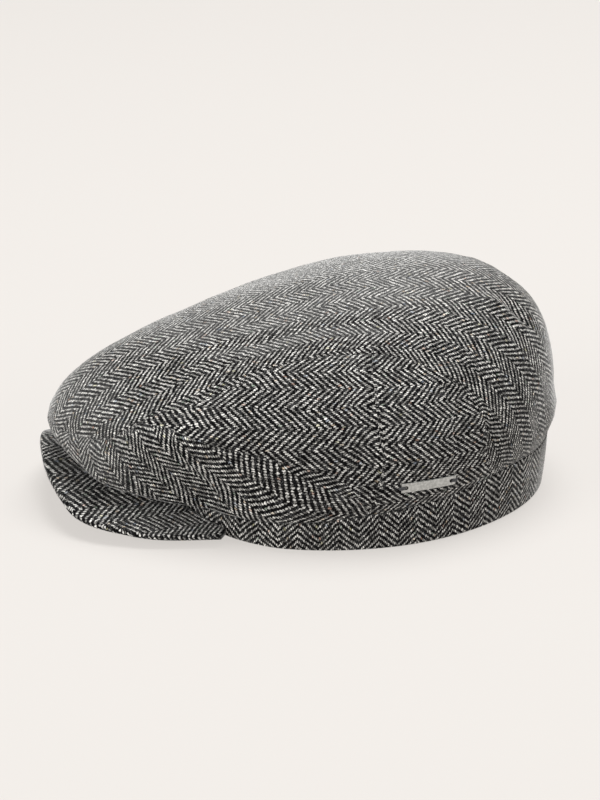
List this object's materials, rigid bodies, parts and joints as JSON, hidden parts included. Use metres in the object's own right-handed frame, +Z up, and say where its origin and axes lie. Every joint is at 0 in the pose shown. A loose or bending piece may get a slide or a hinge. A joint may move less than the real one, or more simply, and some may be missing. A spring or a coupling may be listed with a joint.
{
  "type": "flat cap",
  "caption": "Herringbone tweed flat cap with a seamed crown that overhangs an arched peak, a low band and a small bare name plate, worn on the head.",
  "frame": {"origin": "centre of the cap's outline in plan, on the surface that it rests on", "axes": "-Y forward over the peak, +X to the wearer's left, +Z up"},
  "size_m": [0.1835, 0.248, 0.109],
  "materials": {
    "crown_tweed": "grey and off-white herringbone wool tweed with fine coloured flecks",
    "band_tweed": "the same tweed with upright columns",
    "peak_tweed": "the same tweed stretched over a stiff peak",
    "plate_steel": "satin metal plate, bare"
  },
  "bodies": {
    "root": {"top_panel": "crown_tweed", "side_panel_left": "crown_tweed", "side_panel_right": "crown_tweed", "front_panel": "crown_tweed", "band": "band_tweed", "peak": "peak_tweed", "name_plate": "plate_steel"}
  },
  "joints": []
}
